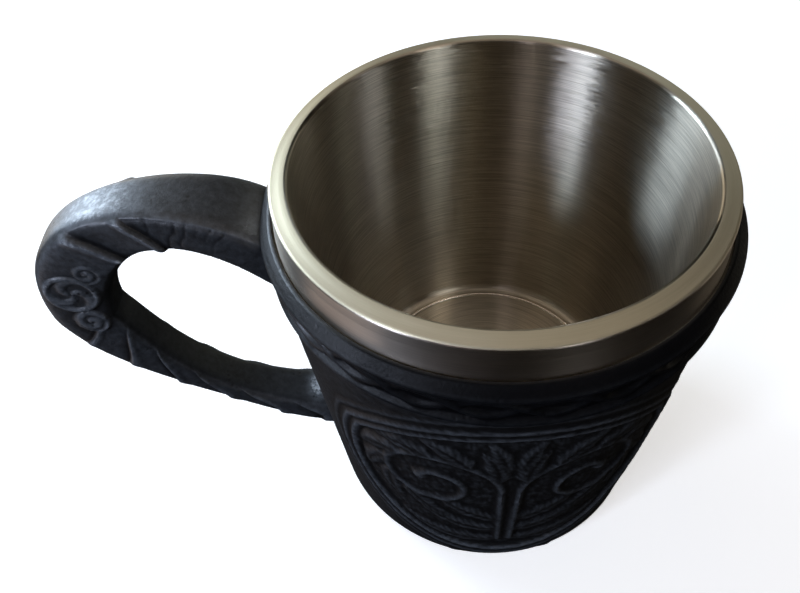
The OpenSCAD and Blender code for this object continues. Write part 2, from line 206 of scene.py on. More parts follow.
def brushed_steel(name, shade, tint, smooth, rough, spread, sway):
    """Stainless steel brushed in one direction. The fine lines blur a reflection across them, which draws a
    light out into a streak. Coarser lines sway a little from the rest, which frays the streak's edges, and
    smudges of a finger's width dull it."""
    made, tree = finish_tree(name)
    place = add(tree, "Attribute", {}, attribute_name="brush").outputs["Vector"]
    lines = add(tree, "TexNoise", {"Vector": place, "Scale": 1.0, "Detail": 3.0, "Roughness": 0.6})
    here = add(tree, "TexCoord", {}).outputs["Object"]
    smudge = add(tree, "TexNoise", {"Vector": here, "Scale": 1 / finger_wide, "Detail": 3.0})
    dull = add(tree, "MapRange", {"Value": smudge.outputs[0], "From Min": 0.35, "From Max": 0.7,
                                  "To Min": smooth, "To Max": rough})
    aside = add(tree, "MapRange", {"Value": lines.outputs[0], "From Min": 0.25, "From Max": 0.75,
                                   "To Min": -sway, "To Max": sway})
    round_axis = add(tree, "Tangent", {}, direction_type="RADIAL", axis="Z")
    push = add(tree, "VectorMath", {0: round_axis.outputs[0], "Scale": aside.outputs[0]}, operation="SCALE")
    face = add(tree, "NewGeometry", {}).outputs["Normal"]
    swayed = add(tree, "VectorMath", {0: face, 1: push.outputs[0]}, operation="ADD")
    facing = add(tree, "VectorMath", {0: swayed.outputs[0]}, operation="NORMALIZE")
    drawn = add(tree, "Mapping", {"Vector": place, "Scale": (0.35, 0.35, 2.0)})
    scratch = add(tree, "TexNoise", {"Vector": drawn.outputs[0], "Scale": 1.0, "Detail": 3.0,
                                     "Roughness": 0.7})
    catch = add(tree, "MapRange", {"Value": scratch.outputs[0], "From Min": 0.36, "From Max": 0.62})
    gleam = add(tree, "Mix", {0: catch.outputs[0], 6: linear(shade), 7: linear(tint)}, data_type="RGBA")
    steel = add(tree, "BsdfPrincipled", {
        "Base Color": gleam.outputs[2], "Metallic": 1.0, "Roughness": dull.outputs[0], "Anisotropic": spread,
        "Anisotropic Rotation": 0.25, "Normal": facing.outputs[0]})
    add(tree, "OutputMaterial", {"Surface": steel.outputs[0]})
    return made


# The brushed wall draws each light out into a long streak, the ground land glows evenly, the burnished ring
# is a thin bright line, and the satin band shows soft upright bars. Each finish has its shade and tint, its
# smoothest and roughest value, how one-sided its blur is, and how far its lines sway.
band_steel = brushed_steel("stainless_steel_band_satin", "#cabfb1", "#d6cabb", 0.30, 0.34, 0.8, 0.02)
for finish in (("stainless_steel_spun_brushed", "#a69f92", "#cec6b7", 0.285, 0.31, 1.0, 0.038),
               ("stainless_steel_satin_ground", "#c9c1a7", "#cfc6ae", 0.54, 0.58, 0.35, 0.01),
               ("stainless_steel_ring_burnished", "#d6cec2", "#efe7da", 0.2, 0.24, 0.0, 0.0)):
    cup.data.materials.append(brushed_steel(*finish))
cup.data.materials.append(band_steel)
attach(cup, "root")
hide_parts("inner_cup")

# Outer jacket: the second wall of the insert, a rolled tube of the same steel. Its upper end shows as the
# band under the rim and is butt-welded to the cup's lip. Below the resin's lip a shoulder draws it in to run
# beside the cup.
jacket_low, jacket_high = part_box("outer_jacket")
skirt_rad = jacket_high.x / MM
jacket_z = jacket_low.z / MM
air_gap = 2.0
skirt_set, skirt_step = 4.0, 1.5
shoulder_slope = 45
half_slope = np.tan(np.radians(shoulder_slope / 2))
resin_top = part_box("resin_body")[1].z / MM
skirt_end = resin_top - skirt_set


def jacket_rad(z):
    """Outer radius of the jacket's wall, which runs beside the cup's wall at the air gap."""
    return floor_rad + (z - floor_z) * np.tan(wall_angle) + 2 * sheet + air_gap


shoulder_z = skirt_end - (skirt_rad - jacket_rad(skirt_end))


def jacket_sheet(inset):
    """Section of the jacket from its weld to its lower end, moved in by inset. The shoulder slopes at 45
    degrees, so its corners move up by the inset times the tangent of half that."""
    rise = inset * half_slope
    return np.array([[rim_rad - inset, lip_z],
                     [skirt_rad - inset, resin_top],
                     [skirt_rad - inset, skirt_end + rise],
                     [jacket_rad(shoulder_z) - inset, shoulder_z + rise],
                     [jacket_rad(jacket_z) - inset, jacket_z]])


jacket_outline = np.vstack([spaced(jacket_sheet(0), skirt_step),
                            spaced(jacket_sheet(sheet)[::-1], back_step)])
jacket = turned("outer_jacket_band", jacket_outline[:, :1], jacket_outline[:, 1:], cup_turns,
                brush=brushing(jacket_outline, cup_turns))
jacket.data.materials.append(band_steel)
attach(jacket, "root")
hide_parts("outer_jacket")

# Jacket base: a pressed disc of the same steel, welded into the jacket's lower end and hidden in the resin.
# It keeps its mill finish, a dull even grey with faint rolling marks.
roll_mark = 0.8 * MM
mill, mill_tree = finish_tree("stainless_steel_mill_finish")
mill_place = add(mill_tree, "TexCoord", {}).outputs["Object"]
rolled = add(mill_tree, "Mapping", {"Vector": mill_place, "Scale": (1.0, 0.08, 1.0)})
marks = add(mill_tree, "TexNoise", {"Vector": rolled.outputs[0], "Scale": 1 / roll_mark, "Detail": 3.0})
mill_dull = add(mill_tree, "MapRange", {"Value": marks.outputs[0], "To Min": 0.38, "To Max": 0.52})
mill_steel = add(mill_tree, "BsdfPrincipled", {
    "Base Color": linear("#bdb8b0"), "Metallic": 1.0, "Roughness": mill_dull.outputs[0]})
add(mill_tree, "OutputMaterial", {"Surface": mill_steel.outputs[0]})
base_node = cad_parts["jacket_base"]
base_node.data.materials.clear()
base_node.data.materials.append(mill)

# Adhesive: two-part epoxy that cured between the insert and the resin, and round the handle's pegs. It is a
# cloudy grey-amber film with small bubbles, hidden but for its edge under the steel band.
cloud_wide, bubble_h = 3 * MM, 0.05 * MM
epoxy, epoxy_tree = finish_tree("epoxy_cured_cloudy")
epoxy_place = add(epoxy_tree, "TexCoord", {}).outputs["Object"]
cloud = add(epoxy_tree, "TexNoise", {"Vector": epoxy_place, "Scale": 1 / cloud_wide, "Detail": 4.0})
milky = add(epoxy_tree, "Mix", {0: cloud.outputs[0], 6: linear("#4c473d"), 7: linear("#7a7363")},
            data_type="RGBA")
bubbles = add(epoxy_tree, "Bump", {"Height": cloud.outputs[0], "Strength": 0.6, "Distance": bubble_h})
cured = add(epoxy_tree, "BsdfPrincipled", {"Base Color": milky.outputs[2], "Roughness": 0.35, "IOR": 1.55,
                                           "Normal": bubbles.outputs[0]})
add(epoxy_tree, "OutputMaterial", {"Surface": cured.outputs[0]})
for name in ("insert_adhesive", "handle_adhesive"):
    glue_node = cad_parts[name]
    glue_node.data.materials.clear()
    glue_node.data.materials.append(epoxy)

# Resin body: polyester resin and stone powder, cast cold in a rubber mould round a carved pattern, then
# stained black and dry-brushed with grey, which stays on the raised edges. The insert is bonded into its
# hollow.
bead_r = 1.0
neck_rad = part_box("resin_body")[1].x / MM - bead_r
base_rad = 42.5
base_edge = 3.0
film, bed = 0.5, 1.2
lip_wide = 0.6
neck_h, band_h = 2.5, 8.6
lip_rad = skirt_rad + film + lip_wide
upper_bead = resin_top - neck_h
lower_bead = upper_bead - band_h
band_mid = (upper_bead + lower_bead) / 2
plait_waves = 12
strand_half, strand_h = 0.85, 0.95
eye_sink, band_sink = 0.7, 0.3
panel_gap = 3.0
panel_r, panel_mid = 42.0, 46.0
arch_r = 56.0
arch_mid = lower_bead - bead_r - panel_gap - arch_r
line_half, line_h = 0.75, 0.8
edge_line_out, edge_line_half, edge_line_h = 2.6, 0.6, 0.35
field_from, field_sink = 4.5, 1.0
field_soft, spray_soft = 0.4, 1.2


def body_rad(z):
    """Radius of the body's straight taper at a height."""
    return base_rad + (neck_rad - base_rad) * z / upper_bead


def ridge(distance, half):
    """Rounded ridge: the square root of one minus the square of distance over half, and nothing beyond."""
    return np.sqrt(np.clip(1 - (distance / half) ** 2, 0, None))


def ease(value):
    """Soft step from 0 to 1: the square of the value times three less twice the value."""
    value = np.clip(value, 0, 1)
    return value * value * (3 - 2 * value)


strand_level, strand_swing = 0.68, 0.32
hole_clear, hole_soft = 0.7, 0.5


def plait(wave, rise, reach, half, slope):
    """Twisted pair of strands. Their middle lines run at plus and minus reach times the cosine of the wave;
    each is a rounded ridge that is high at one crossing and low at the next. The holes between are sunk."""
    gap = np.abs(rise)
    made = np.zeros(np.broadcast_shapes(wave.shape, rise.shape))
    for side in (1, -1):
        tilt = np.sqrt(1 + (slope * np.sin(wave)) ** 2)
        away = (rise - side * reach * np.cos(wave)) / tilt
        made = np.maximum(made, ridge(away, half) * (strand_level + strand_swing * side * np.sin(wave)))
    hole = ease((reach * np.abs(np.cos(wave)) - hole_clear * half - gap) / hole_soft)
    return made, hole


lobe_long, lobe_depth = 5.5, 0.22
vein_apart, vein_slant, vein_h = 2.1, 1.2, 0.16
spine_half, spine_sink = 0.45, 0.45
blade_h = 1.15


def leaf(across, up, foot, heading, bend, length, half):
    """Curved leaf on a spine that is an arc of radius bend. Along is the arc's angle times the bend, and
    aside the bend less the distance from its centre. The blade is rounded, its half width swells and ends
    in a point, with a groove on the spine and veins that slant from it."""
    heading = np.radians(heading)
    left = np.array([-np.sin(heading), np.cos(heading)])
    middle = np.array(foot) + left * bend
    from_middle = np.stack([across - middle[0], up - middle[1]])
    start = -left * bend
    turn = np.arctan2(start[0] * from_middle[1] - start[1] * from_middle[0],
                      start[0] * from_middle[0] + start[1] * from_middle[1])
    along = bend * turn / length
    aside = bend - np.sign(bend) * np.hypot(*from_middle)
    share = np.clip(along, 1e-6, 1 - 1e-6)
    lobes = 1 - lobe_depth * np.abs(np.cos(np.pi * share * length / lobe_long))
    width = half * np.sin(np.pi * share ** 0.7) ** 0.8 * lobes
    inside = (along > 0) & (along < 1) & (np.abs(aside) < width)
    veins = np.cos(2 * np.pi * (share * length - vein_slant * np.abs(aside)) / vein_apart)
    blade = ridge(aside, width) ** 0.7 + vein_h * veins - spine_sink * np.exp(-(aside / spine_half) ** 2)
    return np.where(inside, blade_h * blade, 0)


def volute(across, up, half, pitch):
    """Curled tendril: a rounded ridge whose distance from the middle grows by one pitch a turn."""
    away = np.hypot(across, up)
    turns = away / pitch - np.arctan2(up, across) / (2 * np.pi)
    off = np.abs(turns - np.round(turns)) * pitch
    return np.where(away < half, ridge(off, 0.36 * pitch), 0)


def waver(x, y):
    """Uneven swell between -1 and 1: a product of sines whose phases are bent by other sines."""
    return np.sin(x + 1.3 * np.sin(0.61 * y + 0.4)) * np.sin(0.83 * y + 1.7 * np.sin(0.47 * x))


scroll_x, scroll_z = 17.5, panel_mid + 1
scroll_r, scroll_pitch, scroll_turns = 15.5, 8.4, 1.4
scroll_h = 1.25
stem_half = 1.0
knob_half, knob_h = 2.0, 1.2
stem_foot = np.array([1.5, panel_mid - panel_r + 11])
leaf_half, leaf_len, leaf_bend = 3.5, 15, -18
scroll_leaves, first_leaf, leaf_turn, leaf_splay = 7, 20, 35, 120
low_leaves, low_leaf_len, low_leaf_less, low_leaf_bend = 3, 27, 0.14, 34
low_leaf_rise, low_leaf_head, low_leaf_fan = 7, -8, 14
bud_foot, bud_head, bud_bend, bud_slim = (1.6, scroll_z + 10.5), 86, -36, 0.8
stroke_h = 0.22


def scroll(across, up):
    """Stem and scroll: a ridge up the line beside the panel's middle, then along a spiral whose radius falls
    by one pitch a turn, with a round knob at its end. Turn is counted from the stem, over the top."""
    x, y = scroll_x - across, up - scroll_z
    away, turn = np.hypot(x, y), np.arctan2(y, x) / (2 * np.pi) % 1
    made = np.zeros_like(away)
    for lap in (0, 1):
        off = away - (scroll_r - scroll_pitch * (turn + lap))
        made = np.maximum(made, ridge(off, stem_half) * (turn + lap < scroll_turns))
    stem_top = scroll_x - scroll_r
    lean = (stem_top - stem_foot[0]) / (scroll_z - stem_foot[1])
    stem = ridge(across - stem_top - lean * y, stem_half) * (up < scroll_z) * (up > stem_foot[1] - 1)
    end = 2 * np.pi * scroll_turns
    end_r = scroll_r - scroll_pitch * scroll_turns
    knob = ridge(np.hypot(x - end_r * np.cos(end), y - end_r * np.sin(end)), knob_half)
    return np.maximum(np.maximum(made, stem), knob_h * knob)


def panel(across, up):
    """Framed panel in surface measure: two raised lines at set distances inside its outline, a sunk field,
    and on it a leaf scroll that is mirrored about the panel's middle. Its ground is cut in short strokes."""
    inset = np.minimum(panel_r - np.hypot(across, up - panel_mid), arch_r - np.hypot(across, up - arch_mid))
    frame_lines = line_h * np.maximum(ridge(inset - line_half, line_half),
                                      ridge(inset - 5 * line_half, line_half))
    outside_line = edge_line_h * ridge(inset + edge_line_out, edge_line_half) * (inset < 0)
    side = np.abs(across)
    spray = stroke_h * (1 + waver(side * 2.6 + up * 1.1, up * 1.5 - side * 0.9))
    for turn in first_leaf + leaf_turn * np.arange(scroll_leaves):
        r = scroll_r - scroll_pitch * turn / 360
        foot = (scroll_x - r * np.cos(np.radians(turn)), scroll_z + r * np.sin(np.radians(turn)))
        spray = np.maximum(spray, leaf(side, up, foot, leaf_splay - turn, leaf_bend, leaf_len, leaf_half))
    for step in range(low_leaves):
        foot = stem_foot + (0, low_leaf_rise * step)
        heading, length = low_leaf_fan * step + low_leaf_head, low_leaf_len * (1 - low_leaf_less * step)
        spray = np.maximum(spray, leaf(side, up, foot, heading, low_leaf_bend, length, leaf_half))
    bud = leaf(side, up, bud_foot, bud_head, bud_bend, leaf_len, bud_slim * leaf_half)
    spray = np.maximum(np.maximum(spray, bud), scroll_h * scroll(side, up))
    inside = ease((inset - field_from) / field_soft)
    field = inside * (spray * ease((inset - field_from) / spray_soft) - field_sink)
    return frame_lines + outside_line + field


body_turns = 576
eye_turn = np.pi / (2 * plait_waves)
strand_reach = (upper_bead - lower_bead) / 2 - bead_r - strand_half
tall_leaf_z, tall_leaf_len, tall_leaf_half, tall_leaf_h = 10.0, 58.0, 7.0, 0.8
tall_leaf_bend = 60 * tall_leaf_len
ground_h = 0.07


def body_relief(turn, z):
    """Carving on the taper, as height above it: two half-round beads with the plaited band between them, the
    two framed panels a quarter turn from the handle, and a tall leaf on the side away from the handle."""
    turn, z = np.broadcast_arrays(turn, z)
    rad = body_rad(z)
    made, hole = plait(plait_waves * (turn - eye_turn), z - band_mid, strand_reach, strand_half,
                       strand_reach * plait_waves / neck_rad)
    band = strand_h * made - (eye_sink - band_sink) * hole * (made < 0.05) - band_sink
    below = panel(rad * (turn % np.pi - np.pi / 2), z)
    aside = rad * ((turn + np.pi) % (2 * np.pi) - np.pi)
    tall = leaf(aside, z, (0, tall_leaf_z), 90, tall_leaf_bend, tall_leaf_len, tall_leaf_half)
    ground = ground_h * waver(turn * 40, z * 1.7)
    relief = np.where(z > lower_bead, np.where(z < upper_bead, band, 0), below + tall_leaf_h * tall + ground)
    beads = np.maximum(ridge(z - upper_bead, bead_r), ridge(z - lower_bead, bead_r)) * bead_r
    return np.maximum(relief, np.where(beads > 0, beads, relief))


def softened(field, reach):
    """Mean of the field over a window: along each row, which closes on itself, then down the columns."""
    span = range(-reach, reach + 1)
    field = sum(np.roll(field, k, axis=1) for k in span) / len(span)
    tall = np.pad(field, ((reach, reach), (0, 0)), mode="edge")
    return sum(tall[reach + k:reach + k + len(field)] for k in span) / len(span)


band_step, join_step, panel_step, under_step = 0.3, 0.4, 0.69, 12.0
past_bead, above_edge = 2.2, 0.3
band_rows = np.arange(resin_top, lower_bead - past_bead, -band_step)
panel_rows = np.arange(band_rows[-1] - join_step, base_edge + above_edge, -panel_step)
side_z = np.concatenate([band_rows, panel_rows, [base_edge]])[:, None]
relief = body_relief(full_turn(body_turns), side_z)
# The neck slopes from the lip to a point 60 degrees up the round of the upper bead.
touch_out, touch_up = 0.5, 0.866
neck_slope = (neck_rad + touch_out - lip_rad) / (resin_top - upper_bead - touch_up)
side_r = np.minimum(body_rad(side_z) + softened(relief, 1), lip_rad + (resin_top - side_z) * neck_slope)
cavity_z = jacket_z - bed
drop = film * half_slope
hollow = np.array([[0, cavity_z],
                   [jacket_rad(jacket_z) + film, cavity_z],
                   [jacket_rad(shoulder_z) + film, shoulder_z - drop],
                   [skirt_rad + film, skirt_end - drop],
                   [skirt_rad + film, resin_top]])
edge_arc = arc((body_rad(base_edge) - base_edge, base_edge), base_edge, -12, -90, 6)
under = np.vstack([edge_arc, spaced(np.array([edge_arc[-1], [0, 0]]), under_step)[1:]])

# The grey is brushed on where the relief stands above its surroundings. On the handle's side, where the light
# falls, the border gets more grey, a painted highlight over the dry brushing, and keeps its shine; further
# round it and the neck keep the matt stain.
ground_rub, edge_rub, height_rub = 0.06, 0.65, 0.16
neck_rub, border_rub, held_rub = 0.1, 0.12, 0.38
lit_side_to, lit_side_fade = 60, 25
from_handle = np.degrees(np.abs(full_turn(body_turns) - np.pi))
# The side within 60 degrees of the handle, where the light falls; the extra grey there is a painted
# highlight.
lit_side = ease((lit_side_to - from_handle) / lit_side_fade)
rub_share = np.where(side_z > upper_bead, neck_rub,
                     np.where(side_z > lower_bead, border_rub + held_rub * lit_side, 1))
edges = relief - softened(relief, 3)
body_rub = rub_share * np.clip(ground_rub + edge_rub * edges + height_rub * np.clip(relief, 0, None), 0, 1)
matt = (1 - lit_side) * ease((side_z - lower_bead + 1.5 * bead_r) / bead_r)
every = np.ones((1, body_turns))
bare_hollow, bare_under = np.zeros((len(hollow), body_turns)), np.zeros((len(under), body_turns))
body = turned("resin_body_carved", np.vstack([hollow[:, :1] * every, side_r, under[:, :1] * every]),
              np.vstack([hollow[:, 1:] * every, side_z * every, under[:, 1:] * every]), body_turns,
              rub=np.vstack([bare_hollow, body_rub, bare_under]),
              matt=np.vstack([bare_hollow, matt, bare_under]))

# Cold-cast resin: a hard satin filled plastic. The black stain keeps the hollows dark, the dry-brushed grey
# breaks up over the raised edges, and the cast skin has a fine grain with a few pinholes. Away from the
# handle the neck and the border keep a dead-matt stain, which hardly shines.
stroke_wide, grain_wide, grain_h = 1.6 * MM, 0.7 * MM, 0.07 * MM
pore_apart, foam_wide = 1.7 * MM, 9 * MM
satin_shine, matt_shine = 0.5, 0.08


def stained_resin(name, part_matt):
    """Stained and dry-brushed resin. The grey layer says where the grey lies, painted highlights included,
    and where a piece is partly matt, its matt layer takes the shine off."""
    made, tree = finish_tree(name)
    here = add(tree, "TexCoord", {}).outputs["Object"]
    raised = add(tree, "Attribute", {}, attribute_name="rub").outputs["Fac"]
    strokes = add(tree, "TexNoise", {"Vector": here, "Scale": 1 / stroke_wide, "Detail": 5.0,
                                     "Roughness": 0.65})
    patchy = add(tree, "MapRange", {"Value": strokes.outputs[0], "From Min": 0.3, "From Max": 0.7,
                                    "To Min": 0.35, "To Max": 1.5})
    skin = add(tree, "TexNoise", {"Vector": here, "Scale": 1 / grain_wide, "Detail": 4.0, "Roughness": 0.6})
    satin = add(tree, "MapRange", {"Value": skin.outputs[0], "From Min": 0.3, "From Max": 0.7,
                                   "To Min": 0.38, "To Max": 0.53})
    pores = add(tree, "TexVoronoi", {"Vector": here, "Scale": 1 / pore_apart})
    pinhole = add(tree, "MapRange", {"Value": pores.outputs["Distance"], "From Min": 0.10, "From Max": 0.30,
                                     "To Min": 1.0, "To Max": 0.0})
    foam = add(tree, "TexNoise", {"Vector": here, "Scale": 1 / foam_wide, "Detail": 2.0})
    foamy = add(tree, "MapRange", {"Value": foam.outputs[0], "From Min": 0.52, "From Max": 0.66})
    pits = add(tree, "Math", {0: pinhole.outputs[0], 1: foamy.outputs[0]}, operation="MULTIPLY")
    bare = add(tree, "Math", {0: 1.0, 1: pits.outputs[0]}, operation="SUBTRACT")
    # Grey where the layer says: real dry brushing, with painted highlights by the handle and a painted sheen
    # on it.
    brushed = add(tree, "Math", {0: raised, 1: patchy.outputs[0]}, operation="MULTIPLY")
    dry_brush_and_highlight = add(tree, "Math", {0: brushed.outputs[0], 1: bare.outputs[0]}, operation="MULTIPLY")
    tone = add(tree, "Mix", {0: dry_brush_and_highlight.outputs[0], 6: linear("#08080a"), 7: linear("#5a5f65")},
               data_type="RGBA")
    thick = add(tree, "Math", {0: dry_brush_and_highlight.outputs[0], 1: 1.0}, operation="SUBTRACT", use_clamp=True)
    paint = add(tree, "Mix", {0: thick.outputs[0], 6: tone.outputs[2], 7: linear("#c6cdd2")},
                data_type="RGBA")
    cast_skin = add(tree, "Math", {0: skin.outputs[0], 1: pits.outputs[0]}, operation="SUBTRACT")
    grain = add(tree, "Bump", {"Height": cast_skin.outputs[0], "Strength": 1.0, "Distance": grain_h})
    resin = add(tree, "BsdfPrincipled", {"Base Color": paint.outputs[2], "Roughness": satin.outputs[0],
                                         "IOR": 1.55, "Normal": grain.outputs[0]})
    if part_matt:
        unworn = add(tree, "Attribute", {}, attribute_name="matt").outputs["Fac"]
        shine = add(tree, "MapRange", {"Value": unworn, "To Min": satin_shine, "To Max": matt_shine})
        tree.links.new(shine.outputs[0], resin.inputs["Specular IOR Level"])
    add(tree, "OutputMaterial", {"Surface": resin.outputs[0]})
    return made


body.data.materials.append(stained_resin("polyester_resin_cold_cast_part_matt", True))
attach(body, "root")
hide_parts("resin_body")

# Handle: a second casting of the same resin, saddled over the body's beads and bonded with a peg at each
# root. Overlapping leaves are carved down both sides of the strap, with a curled boss on the bend.
bend_t = 16.5
handle_out, bend_z = 56.0, 66.0
upper_drop, heel_z = 9.5, 17.5
root_z = resin_top - upper_drop
root = np.array([body_rad(root_z), root_z])
bend = np.array([neck_rad + handle_out - bend_t / 2, bend_z])
heel = np.array([body_rad(heel_z), heel_z])
root_rise, heel_rise = np.radians(48), np.radians(15)
root_way = np.array([np.cos(root_rise), np.sin(root_rise)])
heel_way = np.array([np.cos(heel_rise), np.sin(heel_rise)])
root_pull, bend_pull_up, bend_pull_down, heel_pull = 24, 28, 6, 36
upper_curve = np.array([root, root + root_pull * root_way, bend + (0, bend_pull_up), bend])
lower_curve = np.array([bend, bend - (0, bend_pull_down), heel + heel_pull * heel_way, heel])
thick_at = np.array([[0, 10], [0.12, 9.5], [0.4, bend_t], [0.6, bend_t - 2], [0.86, 5.5], [1, 8]])
wide_at = np.array([[0, 20], [0.31, 11.5], [0.5, 10.5], [0.86, 10.5], [1, 13]])
lean_at = np.array([[0, 0], [0.197, 0.034], [0.3, 0.02], [0.45, 0], [0.56, 0.045], [0.89, 0.045], [1, 0.02]])
bow_at = np.array([[0, 0], [0.5, 0], [0.6, 0.022], [1, 0.022]])
leaf_edges = np.array([0.197, 0.292, 0.56, 0.65, 0.73, 0.81, 0.89, 0.96, 1.3])
run_mm = 165.0
boss_at, boss_half = 0.436, 6.4
curls = ((0.372, -0.28, 3.4), (0.518, -0.30, 4.2))
sunk_end = 0.8
handle_steps, section_steps = 520, 150
corner_power = 0.42


def eased(u, stations):
    """Value at u between stations of place and value, with a soft step from each to the next."""
    at = np.clip(np.searchsorted(stations[:, 0], u, side="right") - 1, 0, len(stations) - 2)
    share = ease((u - stations[at, 0]) / (stations[at + 1, 0] - stations[at, 0]))
    return stations[at, 1] + (stations[at + 1, 1] - stations[at, 1]) * share


def bezier(points, t):
    """Cubic curve and its direction: the points weighted by powers of t and of one less t, and the
    derivative of that."""
    t = t[..., None]
    place = (points[0] * (1 - t) ** 3 + 3 * points[1] * t * (1 - t) ** 2 + 3 * points[2] * t * t * (1 - t)
             + points[3] * t ** 3)
    run = ((points[1] - points[0]) * (1 - t) ** 2 + 2 * (points[2] - points[1]) * t * (1 - t)
           + (points[3] - points[2]) * t * t)
    return place, run / np.linalg.norm(run, axis=-1, keepdims=True)


def handle_line(u):
    """Middle line in the handle's own plane, as distance from the axis and height, and its direction: one
    curve to the bend, a second one to the heel, and straight on past both ends."""
    upper, up_run = bezier(upper_curve, np.clip(2 * u, 0, 1))
    lower, low_run = bezier(lower_curve, np.clip(2 * u - 1, 0, 1))
    on_upper = (u < 0.5)[..., None]
    run = np.where(on_upper, up_run, low_run)
    beyond = np.minimum(u, 0) + np.maximum(u - 1, 0)
    return np.where(on_upper, upper, lower) + run_mm * beyond[..., None] * run, run


def handle_skin(u, out, wide, lift):
    """Point of the strap: from the middle line out by half the thickness, square to it, and sideways by half
    the width plus the carving's lift."""
    place, run = handle_line(u)
    flat = place + (out * eased(u, thick_at) / 2)[..., None] * np.stack([-run[..., 1], run[..., 0]], -1)
    return np.stack([-flat[..., 0], wide * eased(u, wide_at) / 2 + np.sign(wide) * lift, flat[..., 1]], -1)


def strap_section(steps):
    """Rounded section, evenly stepped: cosine and sine each to the power of 0.42 with their signs kept."""
    turn = np.linspace(0, 2 * np.pi, 6001)
    shape = np.stack([np.sign(np.cos(turn)) * np.abs(np.cos(turn)) ** corner_power,
                      np.sign(np.sin(turn)) * np.abs(np.sin(turn)) ** corner_power], -1)
    run = run_along(shape)[:, 0]
    even = np.arange(steps) / steps * run[-1]
    return np.interp(even, run, shape[:, 0]), np.interp(even, run, shape[:, 1])


def meets_body(out, wide, inside, outside):
    """Place along the strap where each line of its skin is just under the body's face, found by halving."""
    low, high = np.full_like(out, inside), np.full_like(out, outside)
    for _ in range(40):
        middle = (low + high) / 2
        point = handle_skin(middle, out, wide, 0)
        sunk = np.hypot(point[:, 0], point[:, 1]) < body_rad(point[:, 2]) - sunk_end
        low, high = np.where(sunk, middle, low), np.where(sunk, high, middle)
    return high


groove_wide, border_end, border_fade = 1.1, 4.6, 2.8
blade_rise, border_h, lower_share = 0.7, 0.6, 0.55
stroke_apart, blade_cut, bare_cut = 2.9, 0.06, 0.24
cut_level, cut_start, cut_fade = 0.35, 4, 2
strip_end, strip_fade, strip_from, strip_soft = 0.34, 0.06, 0.80, 0.05
strip_h, strip_groove, strip_groove_at = 0.75, 0.3, 0.82
disc_h, curl_h, swirl_h = 0.45, 0.35, 0.4
swirl_arms, swirl_twist = 3, 1.15
ring_half, ring_gap = 0.9, 1.4


def strap_carving(u, out, wide):
    """Height of the carving on the strap's sides. Leaves overlap along the strap: each starts in a groove
    that leans and bows across it, rises to a rolled border, and falls to the next groove. Blades have
    strokes, a plain strip edges the top, and two curls and a ringed swirl lie on the bend."""
    place = u - out * eased(u, lean_at) - (1 - out ** 2) * eased(u, bow_at)
    at = np.searchsorted(leaf_edges, place, side="right") - 1
    on_leaf = at >= 0
    edge, after = leaf_edges[np.maximum(at, 0)], leaf_edges[np.minimum(at + 1, len(leaf_edges) - 1)]
    past = np.where(on_leaf, (place - edge) * run_mm, 0)
    fall = np.where(on_leaf, 1 - (place - edge) / np.maximum(after - edge, 0.01), 0)
    groove = ease(past / groove_wide)
    border = groove * ease((border_end - past) / border_fade)
    sway = 1.5 * waver(u * 45, out * 3) + 0.8 * waver(u * 110, out * 5 + 2)
    cuts = np.clip(np.cos(2 * np.pi * (u + 0.006 * out) * run_mm / stroke_apart + sway) - cut_level, 0, None)
    on_blade = np.where(on_leaf, ease((past - cut_start) / cut_fade), 1)
    cuts = cuts * np.clip(0.3 + waver(u * 70, out * 2), 0, 1) * on_blade
    share = np.where(at > 1, lower_share, 1)
    cuts = np.where(on_leaf, blade_cut, bare_cut) * cuts
    leaves = share * (blade_rise * fall * groove + border_h * border) - cuts
    strip = ease((strip_end - u) / strip_fade) * ease((out - strip_from) / strip_soft)
    strip_top = strip_h - strip_groove * ridge(out - strip_groove_at, strip_soft)
    leaves = leaves * (1 - strip) + strip * strip_top
    spot = handle_skin(u, out, wide, 0)
    for at_u, at_out, half in curls:
        middle = handle_skin(np.array(at_u), np.array(at_out), np.array(1.0), 0)
        x, y = middle[0] - spot[..., 0], spot[..., 2] - middle[2]
        on = ease((half + 0.2 - np.hypot(x, y)) / 0.8)
        leaves = leaves * (1 - on) + on * (disc_h + curl_h * volute(x, y, half, half / 1.7))
    middle = handle_line(np.array(boss_at))[0]
    x, y = -spot[..., 0] - middle[0], spot[..., 2] - middle[1]
    away = np.hypot(x, y)
    arms = np.cos(swirl_arms * np.arctan2(y, x) - swirl_twist * away)
    swirl = disc_h + swirl_h * np.clip(arms + 0.25, 0, 1) ** 0.7 * (away < boss_half - ring_gap)
    ring = ridge(away - boss_half + ring_half, ring_half)
    on = ease((boss_half + 0.2 - away) / 0.5)
    leaves = leaves * (1 - on) + on * np.maximum(swirl, ring)
    lower_arm = ease((u - 0.45) / 0.1)
    open_side = ease((out + 0.96) / (0.15 + 0.25 * lower_arm)) * (1 - lower_arm * ease((out - 0.62) / 0.35))
    return leaves * ease((np.abs(wide) - 0.80) / 0.16) * open_side * ease((u - 0.012) / 0.03)


lap_out, lap_wide = strap_section(section_steps)
root_end = meets_body(lap_out, lap_wide, -0.12, 0.2)
heel_end = meets_body(lap_out, lap_wide, 1.12, 0.85)
strap_run = root_end + (heel_end - root_end) * np.linspace(0, 1, handle_steps)[:, None]
u, out, wide = np.broadcast_arrays(strap_run, lap_out, lap_wide)
carving = strap_carving(u, out, wide)
skin_points = handle_skin(u, out, wide, carving)
